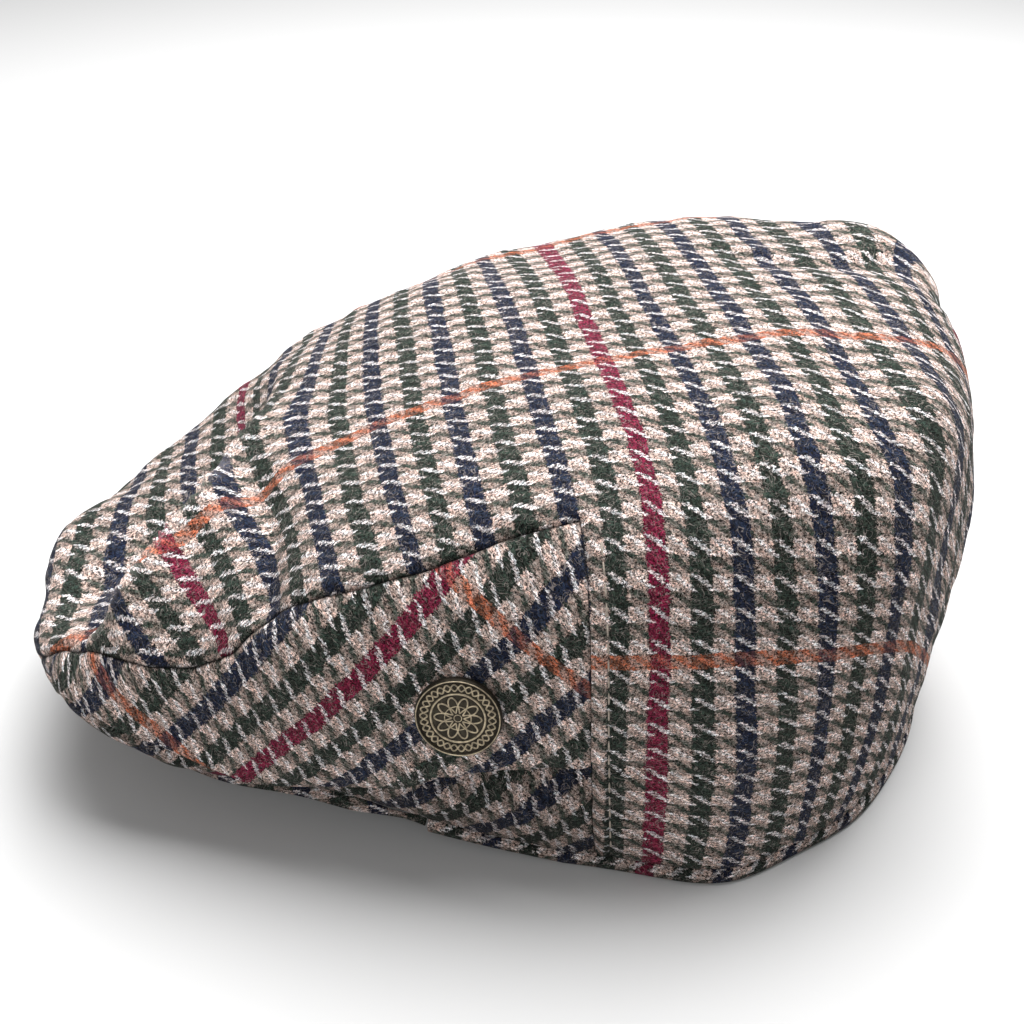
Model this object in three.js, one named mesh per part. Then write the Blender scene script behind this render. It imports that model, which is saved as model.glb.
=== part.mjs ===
// Flat cap: a one-piece cloth top with rear wings, two bias-cut side panels, a stiff peak under the
// front overhang, a turned hem round the head opening and a round metal stud on the wearer's left.
// Units are millimetres. +Z is up, the peak points to -Y, the wearer's left is +X, and the origin is on
// the surface that the cap rests on, under the middle of its box.
//
// The crown is one surface. Stations run across it from the front edge to the centre-back seam; each is
// a smooth half section from the midline down to the crown's lower edge, mirrored for the other side.
// Folds push that surface in or out, the seams divide it, and each panel is a shell of the cloth's
// thickness.
import * as THREE from "three";

// ---- Driving sizes ----
const CLOTH = 2.4;             // panel wall: tweed with its backing
const SEAM_GAP = 1.0;         // clear line between pieces that are sewn together
const STRIPE = 19.8;           // cloth between two dark warp stripes; stations are counted in these
const SIDE_SEAM = -0.75;       // station of the upright seam behind each side panel
const PEAK_CORNER = -3.2;      // station where the peak's rear corners end and the hem begins
const PEAK_THICK = 4;          // covered board
const PEAK_GAP = 1.7;          // clear line above it
const PEAK_INNER_REACH = -80;  // y of the middle of the peak's inner edge
const PEAK_SLOPE = 1.2;        // how far its inner edge lies below the outer one
const PEAK_CORNER_WIDE = 4;    // width of the peak at its rear corners
const HEM_WIDE = 3;            // turned hem, across the cloth
const HEM_START = 0.03;        // stations between the peak's corner and the hem's end
const STUD_RADIUS = 9.9;
const STUD_THICK = 1.9;
const STUD_PLACE = { station: -2.56, drop: 0.68 };
const STUD_STANDOFF = 0.5;     // its flat back above the cloth, at its middle

// ---- Crown stations ----
// station: place along the midline, counted in warp stripes. mid: midline height. shoulder, belly, tuck:
// pull points of the half section. edge: its lower end, where the peak or hem begins.
const STATIONS = table(
  "station midY midZ shoulderX shoulderY shoulderZ bellyX bellyY bellyZ tuckX tuckY tuckZ edgeX edgeY edgeZ",
  [
    [-9.8, -128, 25, 8, -128, 25, 14, -126, 25, 17, -124, 24, 20, -122, 21],
    [-9.2, -132, 38, 24, -132, 39, 38, -125, 33, 38, -116, 25, 31, -111, 17],
    [-8, -111, 51, 46, -113, 52, 60, -102, 38, 57, -95, 21, 44, -92, 12],
    [-6, -81, 73, 66, -80, 70, 74, -74, 44, 70, -70, 22, 54, -68, 10.5],
    [-4, -54, 91, 78, -50, 89, 84, -46, 54, 80, -42, 26, 63, -42, 8],
    [-2, -18, 106, 84, -14, 102, 92, -12, 62, 89, -12, 28, 78, -10, 5.5],
    [0, 20, 114, 90, 20, 112, 98, 22, 66, 97, 24, 32, 89, 26, 5],
    [1, 40, 118, 90, 38, 116, 97, 43, 70, 98, 46, 32, 93, 44, 5],
    [2, 60, 120, 88, 58, 119, 92, 62, 74, 90, 64, 36, 87, 62, 5],
    [3, 80, 120, 78, 80, 120, 88, 82, 76, 82, 84, 36, 77, 80, 5],
    [4, 99, 117, 60, 98, 117, 68, 100, 78, 66, 98, 36, 59, 98, 5],
    [5, 115, 111, 30, 116, 109, 38, 120, 78, 34, 117, 36, 31, 114, 5],
    [6, 117, 110, 0, 122, 104, 0, 128, 76, 0, 126, 36, 0, 122, 5],
  ],
);

// Seam between the top and each side panel: how far down the half section it lies, 0 midline to 1 edge.
const SIDE_PANEL_SEAM = table("station drop", [
  [-9.8, 0.75],
  [-9.2, 0.45],
  [-8.4, 0.37],
  [-7.8, 0.388],
  [-7.1, 0.425],
  [-6.4, 0.446],
  [-5.7, 0.435],
  [-5.2, 0.39],
  [-4.8, 0.365],
  [-3.6, 0.373],
  [-2.7, 0.37],
  [-1.8, 0.345],
  [-0.75, 0.328],
  [6, 0.335],
]);

// Folds and dents. height: out of the cloth, or into it below 0. spread: how wide it fades. The fold
// runs from its start through its middle to its end.
const FOLDS = table(
  "height spread startX startY startZ middleX middleY middleZ endX endY endZ",
  [
    [4.5, 12, -36, -54, 91, 10, -82, 73, 20, -103, 59],        // brow ridge, over the crown's front
    [4, 10, 20, -103, 59, 30, -109, 53, 42, -112, 46],         // brow ridge, down to the near corner
    [-3, 12, -30, -78, 73, -6, -94, 63, 12, -114, 50],         // hollow in front of the brow ridge
    [-2.5, 8, 32, -56, 88, 48, -62, 80, 62, -64, 70],          // temple dip
    [13.5, 17, -46, 109, 106.5, -35, 123.5, 100, -45, 136, 109.5], // puffed far rear corner
    [-3, 8, 82, -44, 22, 88, -12, 24, 94, 14, 24],             // tuck under the side panel's belly
    [-3, 8, -82, -44, 22, -88, -12, 24, -94, 14, 24],
  ],
);

// ---- Small helpers ----
function table(names, rows) {
  const columns = names.split(" ");
  return rows.map((row) => Object.fromEntries(columns.map((name, i) => [name, row[i]])));
}

// Natural cubic spline through every column of a table, read at any station.
function splineOf(rows) {
  const columns = Object.keys(rows[0]).filter((name) => name !== "station");
  const at = rows.map((row) => row.station);
  const last = at.length - 1;
  const bends = {};
  for (const name of columns) {
    const value = rows.map((row) => row[name]);
    const upper = new Array(last + 1).fill(0);
    const rest = new Array(last + 1).fill(0);
    for (let i = 1; i < last; i++) {
      const before = at[i] - at[i - 1];
      const after = at[i + 1] - at[i];
      const slopeChange = (value[i + 1] - value[i]) / after - (value[i] - value[i - 1]) / before;
      const pivot = 2 * (before + after) - before * upper[i - 1];
      upper[i] = after / pivot;
      rest[i] = (6 * slopeChange - before * rest[i - 1]) / pivot;
    }
    const bend = new Array(last + 1).fill(0);
    for (let i = last - 1; i > 0; i--) bend[i] = rest[i] - upper[i] * bend[i + 1];
    bends[name] = bend;
  }
  return (station) => {
    let i = 0;
    while (i < last - 1 && station > at[i + 1]) i++;
    const span = at[i + 1] - at[i];
    const a = at[i + 1] - station;
    const b = station - at[i];
    const read = (name) =>
      (bends[name][i] * a ** 3 + bends[name][i + 1] * b ** 3) / (6 * span) +
      (rows[i][name] / span - (bends[name][i] * span) / 6) * a +
      (rows[i + 1][name] / span - (bends[name][i + 1] * span) / 6) * b;
    return Object.fromEntries(columns.map((name) => [name, read(name)]));
  };
}

function linearOf(rows, name) {
  return (station) => {
    let i = 0;
    while (i < rows.length - 2 && station > rows[i + 1].station) i++;
    const part = (station - rows[i].station) / (rows[i + 1].station - rows[i].station);
    return THREE.MathUtils.lerp(rows[i][name], rows[i + 1][name], part);
  };
}

const range = (from, to, steps) => Array.from({ length: steps + 1 }, (_, i) => from + ((to - from) * i) / steps);

// ---- Crown surface ----
const stationAt = splineOf(STATIONS);
const seamDrop = linearOf(SIDE_PANEL_SEAM, "drop");
const FRONT = STATIONS[0].station;
const BACK = STATIONS[STATIONS.length - 1].station;

// Clamped cubic B-spline with its knots at thirds, by repeated halving between neighbours (de Boor).
const KNOTS = [0, 0, 0, 0, 1 / 3, 2 / 3, 1, 1, 1, 1];
function bSpline(points, t) {
  const first = Math.min(Math.floor(t * 3), 2);
  const pulled = points.slice(first, first + 4).map((p) => p.clone());
  for (let level = 1; level <= 3; level++) {
    for (let j = 3; j >= level; j--) {
      const start = KNOTS[j + first];
      const part = (t - start) / (KNOTS[j + first + 4 - level] - start);
      pulled[j].lerpVectors(pulled[j - 1], pulled[j], part);
    }
  }
  return pulled[3];
}

// Point of the unfolded crown: side is 1 on the wearer's left and -1 on the right.
function smoothPoint(station, drop, side) {
  const s = stationAt(station);
  const section = [
    new THREE.Vector3(0, s.midY, s.midZ),
    new THREE.Vector3(s.shoulderX / 2, s.midY, s.midZ),
    new THREE.Vector3(s.shoulderX, s.shoulderY, s.shoulderZ),
    new THREE.Vector3(s.bellyX, s.bellyY, s.bellyZ),
    new THREE.Vector3(s.tuckX, s.tuckY, s.tuckZ),
    new THREE.Vector3(s.edgeX, s.edgeY, s.edgeZ),
  ];
  const point = bSpline(section, drop);
  point.x *= side;
  return point;
}

// Outward normal of a surface given by a point function, from a small step each way.
function normalOf(pointAt, station, drop, side) {
  const step = 0.01;
  const along = pointAt(Math.min(station + step, BACK), drop, side)
    .sub(pointAt(Math.max(station - step, FRONT), drop, side));
  const down = pointAt(station, Math.min(drop + step, 1), side)
    .sub(pointAt(station, Math.max(drop - step, 0), side));
  const normal = along.cross(down).multiplyScalar(-side);
  if (drop === 0 || station === BACK) normal.x = 0;
  return normal.normalize();
}

const foldPaths = FOLDS.map((fold) => {
  const path = new THREE.QuadraticBezierCurve3(
    new THREE.Vector3(fold.startX, fold.startY, fold.startZ),
    new THREE.Vector3(fold.middleX, fold.middleY, fold.middleZ),
    new THREE.Vector3(fold.endX, fold.endY, fold.endZ),
  );
  return { fold, points: path.getPoints(8) };
});

function foldHeight(point) {
  let height = 0;
  for (const { fold, points } of foldPaths) {
    const nearest = Math.min(...points.slice(1).map((end, i) => {
      const line = new THREE.Line3(points[i], end);
      return line.closestPointToPoint(point, true, new THREE.Vector3()).distanceTo(point);
    }));
    height += fold.height * Math.exp(-((nearest / fold.spread) ** 2));
  }
  return height;
}

function crownPoint(station, drop, side) {
  const point = smoothPoint(station, drop, side);
  const edgeHold = 1 - THREE.MathUtils.smoothstep(drop, 0.9, 1);
  return point.addScaledVector(normalOf(smoothPoint, station, drop, side), foldHeight(point) * edgeHold);
}

// ---- Shells ----
// A closed shell of the cloth's thickness from a grid of crown places. Places that fall together, such
// as the two sides at the centre-back seam, are joined; a missing place leaves its cells out.
function clothShell(grid) {
  const outer = [];
  const inner = [];
  const known = new Map();
  const idOf = (place) => {
    if (!place) return -1;
    const point = crownPoint(...place);
    const key = point.toArray().map((value) => Math.round(value * 1e3)).join();
    if (!known.has(key)) {
      known.set(key, outer.length);
      outer.push(point);
      inner.push(point.clone().addScaledVector(normalOf(crownPoint, ...place), -CLOTH));
    }
    return known.get(key);
  };
  const ids = grid.map((row) => row.map(idOf));
  const faces = [];
  for (let i = 0; i + 1 < ids.length; i++) {
    for (let j = 0; j + 1 < ids[i].length; j++) {
      const corners = [ids[i][j], ids[i + 1][j], ids[i + 1][j + 1], ids[i][j + 1]];
      if (corners.includes(-1)) continue;
      faces.push([corners[0], corners[1], corners[2]], [corners[0], corners[2], corners[3]]);
    }
  }
  return closedShell(outer, inner, faces.filter(([a, b, c]) => a !== b && b !== c && c !== a));
}

// Outer faces, the same faces turned round on the inner points, and a rim along every open edge.
function closedShell(outer, inner, faces) {
  const count = outer.length;
  const triangles = [];
  const open = new Map();
  for (const [a, b, c] of faces) {
    triangles.push(a, b, c, a + count, c + count, b + count);
    for (const [from, to] of [[a, b], [b, c], [c, a]]) {
      if (!open.delete(`${to},${from}`)) open.set(`${from},${to}`, [from, to]);
    }
  }
  for (const [from, to] of open.values()) {
    triangles.push(to, from, from + count, to, from + count, to + count);
  }
  return solidOf([...outer, ...inner], triangles);
}

// Geometry from points and triangles, turned so that its faces point out.
function solidOf(points, triangles) {
  let volume = 0;
  for (let i = 0; i < triangles.length; i += 3) {
    const [a, b, c] = [points[triangles[i]], points[triangles[i + 1]], points[triangles[i + 2]]];
    volume += a.dot(b.clone().cross(c));
  }
  const facing = volume > 0 ? triangles : [...triangles].reverse();
  const geometry = new THREE.BufferGeometry().setFromPoints(points);
  geometry.setIndex(facing);
  geometry.computeVertexNormals();
  return geometry;
}

const TOP_FRONT_STEPS = 24;
const WING_STEPS = 18;
const TOP_COLUMNS = 9;
const LOWER_COLUMNS = 8;

// ---- Pieces ----
function crownTop() {
  const frontRows = range(FRONT, SIDE_SEAM, TOP_FRONT_STEPS);
  const wingRows = range(SIDE_SEAM, BACK, WING_STEPS);
  const half = (station, withWing) => {
    const seam = seamDrop(station);
    const above = range(0, seam, TOP_COLUMNS);
    const below = range(seam, 1, LOWER_COLUMNS).slice(1);
    return [...above, ...below.map((drop) => (withWing ? drop : null))];
  };
  const rowOf = (station, withWing) => {
    const drops = half(station, withWing);
    const place = (drop, side) => (drop === null ? null : [station, drop, side]);
    return [
      ...drops.slice(1).reverse().map((drop) => place(drop, -1)),
      ...drops.map((drop) => place(drop, 1)),
    ];
  };
  return clothShell([
    ...frontRows.slice(0, -1).map((station) => rowOf(station, false)),
    ...wingRows.map((station) => rowOf(station, true)),
  ]);
}

function sidePanel(side) {
  const probe = 0.02;
  const drop = (station, part) => {
    const seam = seamDrop(station);
    const probeLength = crownPoint(station, seam, side).distanceTo(crownPoint(station, seam + probe, side));
    return THREE.MathUtils.lerp(seam + (probe * SEAM_GAP) / probeLength, 1, part);
  };
  const rows = range(FRONT, SIDE_SEAM, TOP_FRONT_STEPS);
  rows[TOP_FRONT_STEPS] -= SEAM_GAP / STRIPE;
  const parts = range(0, 1, LOWER_COLUMNS);
  return clothShell(rows.map((station) => parts.map((part) => [station, drop(station, part), side])));
}

// A closed solid swept through a list of four-cornered sections.
function sweptBar(sections) {
  const points = sections.flat();
  const triangles = [];
  for (let i = 0; i + 1 < sections.length; i++) {
    for (let j = 0; j < 4; j++) {
      const [a, b] = [4 * i + j, 4 * i + ((j + 1) % 4)];
      triangles.push(a, b, b + 4, a, b + 4, a + 4);
    }
  }
  const end = 4 * (sections.length - 1);
  triangles.push(0, 2, 1, 0, 3, 2, end, end + 1, end + 2, end, end + 2, end + 3);
  return solidOf(points, triangles);
}

// The peak's outer edge follows the crown's lower edge: the front edge first, then down each side. Its
// top stays under the cloth's outer and inner corners alike.
function peakRim(side) {
  const front = range(0, 1, 6).map((drop) => [FRONT, drop, side]);
  const sides = range(FRONT, PEAK_CORNER, 20).slice(1).map((station) => [station, 1, side]);
  return [...front, ...sides].map((place) => {
    const edge = crownPoint(...place);
    const clothRise = Math.min(0, -CLOTH * normalOf(crownPoint, ...place).z);
    return edge.setZ(edge.z + clothRise - PEAK_GAP);
  });
}

function peak() {
  const left = peakRim(1);
  const rim = [...peakRim(-1).slice(1).reverse(), ...left];
  const corner = left[left.length - 1];
  const innerHalfWidth = corner.x - PEAK_CORNER_WIDE;
  const innerDepth = corner.y - PEAK_INNER_REACH;
  const sections = rim.map((edge) => {
    const turn = Math.atan2(corner.y - edge.y, edge.x);
    const arch = Math.sin(turn);
    const inX = innerHalfWidth * Math.cos(turn);
    const inY = corner.y - innerDepth * arch;
    const inTop = edge.z - PEAK_SLOPE;
    return [
      edge,
      new THREE.Vector3(edge.x, edge.y, edge.z - PEAK_THICK),
      new THREE.Vector3(inX, inY, inTop - PEAK_THICK),
      new THREE.Vector3(inX, inY, inTop),
    ];
  });
  return sweptBar(sections);
}

// The turned hem round the back of the head opening, flat underneath where the cap rests.
function hemBand() {
  const half = range(PEAK_CORNER + HEM_START, BACK, 30).map((station) => crownPoint(station, 1, 1));
  const mirrored = half.slice(0, -1).map((p) => new THREE.Vector3(-p.x, p.y, p.z));
  const line = [...mirrored, ...half.reverse()];
  const sections = line.map((edge, i) => {
    const before = line[Math.max(i - 1, 0)];
    const after = line[Math.min(i + 1, line.length - 1)];
    const inward = new THREE.Vector3(after.y - before.y, before.x - after.x, 0).normalize();
    const inX = edge.x + inward.x * HEM_WIDE;
    const inY = edge.y + inward.y * HEM_WIDE;
    const top = edge.z - SEAM_GAP;
    return [
      new THREE.Vector3(edge.x, edge.y, top),
      new THREE.Vector3(edge.x, edge.y, 0),
      new THREE.Vector3(inX, inY, 0),
      new THREE.Vector3(inX, inY, top),
    ];
  });
  return sweptBar(sections);
}

// A round stud: flat back, upright edge, raised rim and a low dome inside it.
function badge() {
  const profile = [
    [0, 0], [STUD_RADIUS, 0], [STUD_RADIUS, STUD_THICK * 0.6], [STUD_RADIUS - 0.5, STUD_THICK],
    [STUD_RADIUS - 1.4, STUD_THICK], [STUD_RADIUS - 1.8, STUD_THICK * 0.75],
    [STUD_RADIUS / 2, STUD_THICK * 0.9], [0, STUD_THICK],
  ].map(([radius, height]) => new THREE.Vector2(radius, height));
  return new THREE.LatheGeometry(profile, 32);
}

// ---- Assembly ----
function cloth(color) {
  return new THREE.MeshStandardMaterial({ color, roughness: 0.95, metalness: 0 });
}

function addPiece(parent, name, geometry, material) {
  const mesh = new THREE.Mesh(geometry, material);
  mesh.name = name;
  parent.add(mesh);
  return mesh;
}

const group = new THREE.Group();
addPiece(group, "crown_top", crownTop(), cloth(0x8f8674));
addPiece(group, "side_panel_left", sidePanel(1), cloth(0x877e6c));
addPiece(group, "side_panel_right", sidePanel(-1), cloth(0x877e6c));
addPiece(group, "peak", peak(), cloth(0x6f685a));
addPiece(group, "hem_band", hemBand(), cloth(0x7b7363));

const brass = new THREE.MeshStandardMaterial({ color: 0x5b5140, roughness: 0.4, metalness: 0.9 });
const stud = addPiece(group, "badge", badge(), brass);
const studPlace = [STUD_PLACE.station, STUD_PLACE.drop, 1];
const studNormal = normalOf(crownPoint, ...studPlace);
stud.position.copy(crownPoint(...studPlace)).addScaledVector(studNormal, STUD_STANDOFF);
stud.quaternion.setFromUnitVectors(new THREE.Vector3(0, 1, 0), studNormal);

// Centre the cap over the origin.
const box = new THREE.Box3().setFromObject(group);
group.position.set(-(box.min.x + box.max.x) / 2, -(box.min.y + box.max.y) / 2, -box.min.z);

export default group;
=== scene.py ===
"""Flat cap in houndstooth tweed, dressed round its solid frame.

The crown is one surface: stations run across it from the front edge to the centre-back seam, and each
is a smooth section from the midline down to the hem. Folds push that surface in or out, the seams
divide it, and every panel is a closed wall of cloth. Its weave is a pattern of numbered threads, kept
in each piece's own UV map. Lengths in the tables are in millimetres; +X is the wearer's left, the peak
points to -Y and +Z is up.
"""

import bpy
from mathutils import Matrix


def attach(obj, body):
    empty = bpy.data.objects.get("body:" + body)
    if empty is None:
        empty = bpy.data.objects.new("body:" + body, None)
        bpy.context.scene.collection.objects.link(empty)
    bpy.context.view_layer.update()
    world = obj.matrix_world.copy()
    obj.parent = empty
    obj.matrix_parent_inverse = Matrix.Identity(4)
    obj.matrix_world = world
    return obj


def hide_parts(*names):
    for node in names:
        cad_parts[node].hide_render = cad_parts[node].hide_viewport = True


bl_info = {
    "name": "Flat Cap",
    "version": (1, 0, 0),
    "blender": (4, 5, 0),
    "location": "View3D > Sidebar > Flat Cap",
    "description": "Builds a houndstooth tweed flat cap panel by panel",
    "category": "Add Mesh",
}

from functools import partial

import bmesh
import bpy
import numpy as np
from mathutils import Vector

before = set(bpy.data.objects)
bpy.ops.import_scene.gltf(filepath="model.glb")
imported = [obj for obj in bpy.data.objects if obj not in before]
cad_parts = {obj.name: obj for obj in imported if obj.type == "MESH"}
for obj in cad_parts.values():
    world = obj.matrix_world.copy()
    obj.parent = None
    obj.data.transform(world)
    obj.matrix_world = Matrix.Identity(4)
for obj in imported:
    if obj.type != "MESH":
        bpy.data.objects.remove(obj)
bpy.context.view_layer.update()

MM = 0.001
BODY = "root"


def table(names, rows):
    """Columns of a table by name."""
    return dict(zip(names.split(), np.array(rows, dtype=float).T))


# ---- Cloth construction ----
STRIPE = 19.8                # cloth between two dark warp stripes, mm
WARP = STRIPE / 16           # one warp thread, mm
WEFT = 7.7 / 8               # one weft thread, mm
CENTRE_SHIFT = 2.478         # moves the tables' y onto the frame, mm
SIDE_SEAM = -0.75            # station of the upright seam behind each side panel
PEAK_CORNER = -3.2           # station where the peak's rear corners end
STITCH_BEHIND = 4.4          # the top stitching's line behind that seam, mm
STUD_STATION, STUD_DROP = -2.56, 0.68
STUD_TILT = np.radians(8)    # how far the stud presses the cloth to face upwards

# station: place along the midline, in warp stripes. mid, shoulder, belly, tuck, edge: pull points of
# the half section.
STATIONS = table("""station midY midZ shoulderX shoulderY shoulderZ bellyX bellyY bellyZ
                 tuckX tuckY tuckZ edgeX edgeY edgeZ""", [
    [-9.8, -128, 25, 8, -128, 25, 14, -126, 25, 17, -124, 24, 20, -122, 21],
    [-9.2, -132, 38, 24, -132, 39, 38, -125, 33, 38, -116, 25, 31, -111, 17],
    [-8, -111, 51, 46, -113, 52, 60, -102, 38, 58, -96, 21, 46, -93, 12.5],
    [-6, -81, 73, 66, -80, 70, 74, -74, 44, 71, -71, 22, 56, -69, 12.5],
    [-4, -54, 91, 78, -50, 89, 84, -46, 54, 81, -42, 27, 67, -42, 11.5],
    [-2, -18, 106, 84, -14, 102, 92, -12, 62, 89, -12, 28, 78, -10, 6.5],
    [0, 20, 114, 90, 20, 112, 98, 22, 66, 97, 24, 32, 89, 26, 5],
    [1, 40, 118, 90, 38, 116, 97, 43, 70, 98, 46, 32, 93, 44, 5],
    [2, 60, 120, 88, 58, 119, 92, 62, 74, 90, 64, 36, 87, 62, 5],
    [3, 80, 120, 78, 80, 120, 88, 82, 76, 82, 84, 36, 77, 80, 5],
    [4, 99, 117, 60, 98, 117, 68, 100, 78, 66, 98, 36, 59, 98, 5],
    [5, 110, 113.3, 30, 116, 109, 38, 120, 78, 34, 117, 36, 31, 114, 5],
    [6, 117, 110, 0, 122, 104, 0, 128, 76, 0, 126, 36, 0, 122, 5],
])

# Seam between the top and each side panel: how far down the half section it lies, 0 to 1.
SEAM = table("station drop", [
    [-9.8, 0.75], [-9.2, 0.45], [-8.4, 0.37], [-7.8, 0.388], [-7.1, 0.425], [-6.4, 0.446], [-5.7, 0.435],
    [-5.2, 0.39], [-4.8, 0.365], [-3.6, 0.373], [-2.7, 0.37], [-1.8, 0.345], [-0.75, 0.328], [6, 0.335],
])

# Crease where each side panel's cloth turns under: how far down the half section it lies, how deep it
# is and over what length the cloth comes back below it, mm.
UNDER = table("station drop depth reach", [
    [-9.8, 0.9, 0, 5], [-8.8, 0.58, 1, 5], [-8.42, 0.6, 4.5, 7], [-8.17, 0.675, 6.5, 9],
    [-7.6, 0.738, 7.5, 10], [-7, 0.787, 7.5, 10], [-6.25, 0.854, 6.5, 9], [-5.3, 0.9, 4.5, 8],
    [-4.4, 0.9, 4, 8], [-3.58, 0.872, 5, 9], [-3.06, 0.829, 8, 12], [-2.02, 0.804, 8.5, 14],
    [-1.2, 0.8, 7.5, 14], [-0.64, 0.8, 4, 12], [0.1, 0.79, 0, 12], [6, 0.79, 0, 12],
])

# How far the warp stripes lie behind their station, in stripes, at six places down the section: far,
# on the wearer's right; the midline; shoulder, seam, side and hem, on the wearer's left.
SHIFT = table("station far middle shoulder seam side hem", [
    [-9.8, 0, 0, 0, 0, 0, 0], [-8, -0.12, 0.1, 0, -0.05, 0, 0], [-7, -0.05, 0, -0.05, -0.25, 0, 0],
    [-6, -0.35, 0.1, -0.08, -0.33, 0, 0], [-5, -0.3, 0.2, -0.1, -0.05, 0, 0],
    [-4, -0.15, 0, -0.04, -0.1, 0, 0], [-3, 0.1, 0.03, -0.06, -0.18, 0, 0], [-2, 0.15, 0, 0, 0, 0, 0],
    [-1, 0.25, -0.05, -0.1, -0.15, -0.1, 0], [0, 0.18, 0, -0.15, -0.13, -0.05, 0],
    [1, 0.32, 0.2, -0.02, -0.1, -0.02, -0.06], [2, 0.34, 0.24, 0.04, -0.04, -0.11, -0.24],
    [3, 0.45, 0.2, 0.17, 0, 0.12, 0.18], [4, 0.4, 0.06, -0.05, -0.25, 0, 0], [5, 0.2, -0.24, 0, -0.2, 0, 0],
    [6, -0.1, -0.7, 0.3, 0.7, 1, 0.6],
])
SHIFT_DROPS = [-0.25, 0, 0.2, 0.4, 0.7, 1]

# How far the weft rows lie below their place on the wearer's left, mm: near the midline, and on the wing.
WEFT_FALL = table("station top wing", [
    [-9.8, 16, 0], [-6.8, 16, 0], [-6, 15, 0], [-5, 7.5, 0], [-4, 3.5, 0], [-3, 1, 0], [-2, 1.5, 0],
    [-0.75, -1.5, -2.5], [0, -1, 1], [0.5, 2, 4], [1.06, 4, 6.7], [1.6, 3, 9.2], [2.1, 2.5, 9.8],
    [2.5, 3.5, 8.8], [3, 4, 7], [4, 0.5, 6], [6, 0, 5],
])

# Soft folds. height: out of the cloth, or into it below 0. near, far: how wide it fades towards the
# wearer's left and away from it. The fold runs through its three places.
FOLDS = table("height near far startX startY startZ middleX middleY middleZ endX endY endZ", [
    [-5, 13, 13, -30, -78, 73, -6, -94, 63, 12, -114, 50],
    [-5.5, 8, 4, 14, -72, 82, 42, -65, 80, 62, -66, 74],
    [3.5, 13, 13, 22, -90, 70, 34, -92, 66, 44, -92, 62],
    [13.5, 17, 17, -46, 109, 106.5, -35, 123.5, 100, -45, 136, 109.5],
    [-1.8, 25, 25, -60, 20, 116, -60, 40, 118, -55, 60, 119],
    [-1.8, 8, 3, -26, 106, 114.5, -21.7, 84, 119.6, -36, 61, 119.6],
    [3, 15, 15, -36, 124, 107, -20, 122, 109, -8, 118.5, 110],
    [-2.6, 9, 9, -32, -127, 43, -37, -123, 45, -40, -114, 48],
    [1.8, 8, 8, -26, -130.5, 42, -18, -130.5, 41.5, -8, -131, 40],
    [1.9, 9, 9, -46, -105, 51, -53, -94, 56, -56, -82, 66],
])

# The brow ridge: a sharp crest through these x, y and z, whose far side drops away steeply. NEAR and
# FAR: how far it fades on the near side and drops on the far side, mm.
BROW_NEAR, BROW_FAR = 17, 6
BROW_PATH = [
    [-56, -58.5, 84.4], [-27, -64, 84.8], [-3, -66.7, 83.8], [8.8, -72.3, 80], [23, -75, 77.6],
    [33, -82.6, 70.4], [40.3, -89, 63.8], [44.2, -97.4, 56.7], [45, -107.8, 50],
]

# Slight unevenness of pressed wool, long soft waves and short shallow ones: height, length, seed.
WAVES = ((0.4, 46, 11), (0.2, 17, 12), (0.08, 6, 13))

FRONT, BACK = STATIONS["station"][[0, -1]]
KNOTS = np.array([0, 0, 0, 0, 1 / 3, 2 / 3, 1, 1, 1, 1])


# ---- Shapes worked out as whole arrays ----
def column_at(rows, name, station):
    """A table's column, read in straight lines between its stations."""
    return np.interp(station, rows["station"], rows[name])


def smooth(x, low, high):
    """Smoothstep: 0 below low, 1 above high and an s-curve between."""
    t = np.clip((x - low) / (high - low), 0, 1)
    return t * t * (3 - 2 * t)


def bell(x, width, power=2):
    """Bell curve: e to the minus power of x over the width, so 1 at 0 and a third at the width."""
    return np.exp(-((x / width) ** power))


def unit(vectors):
    """Vectors divided by their own lengths."""
    return vectors / np.linalg.norm(vectors, axis=-1, keepdims=True)


def spline(at, values, x):
    """Natural cubic spline: cubics that meet with equal slope and bend, with no bend at the ends."""
    span = np.diff(at)
    count = len(at)
    system, right = np.eye(count), np.zeros((count, values.shape[1]))
    i = np.arange(1, count - 1)
    system[i, i - 1], system[i, i], system[i, i + 1] = span[:-1], 2 * (span[:-1] + span[1:]), span[1:]
    right[1:-1] = 6 * np.diff(np.diff(values, axis=0) / span[:, None], axis=0)
    bend = np.linalg.solve(system, right)
    k = np.clip(np.searchsorted(at, x, side="right") - 1, 0, count - 2)
    h = span[k][..., None]
    a, b = at[k + 1][..., None] - x[..., None], x[..., None] - at[k][..., None]
    curve = (bend[k] * a**3 + bend[k + 1] * b**3) / (6 * h)
    return curve + (values[k] / h - bend[k] * h / 6) * a + (values[k + 1] / h - bend[k + 1] * h / 6) * b


def pull_weights(t):
    """Share of each of the six pull points: a cubic B-spline, raised one degree at a time from steps."""
    t = np.clip(t, 0, 1 - 1e-9)[..., None]
    weights = ((t >= KNOTS[:-1]) & (t < KNOTS[1:])).astype(float)
    for degree in (1, 2, 3):
        rise = KNOTS[degree:-1] - KNOTS[: -degree - 1]
        fall = KNOTS[degree + 1:] - KNOTS[1:-degree]
        up = (t - KNOTS[: -degree - 1]) / np.where(rise > 0, rise, 1)
        down = (KNOTS[degree + 1:] - t) / np.where(fall > 0, fall, 1)
        weights = up * weights[..., :-1] * (rise > 0) + down * weights[..., 1:] * (fall > 0)
    return weights


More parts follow.
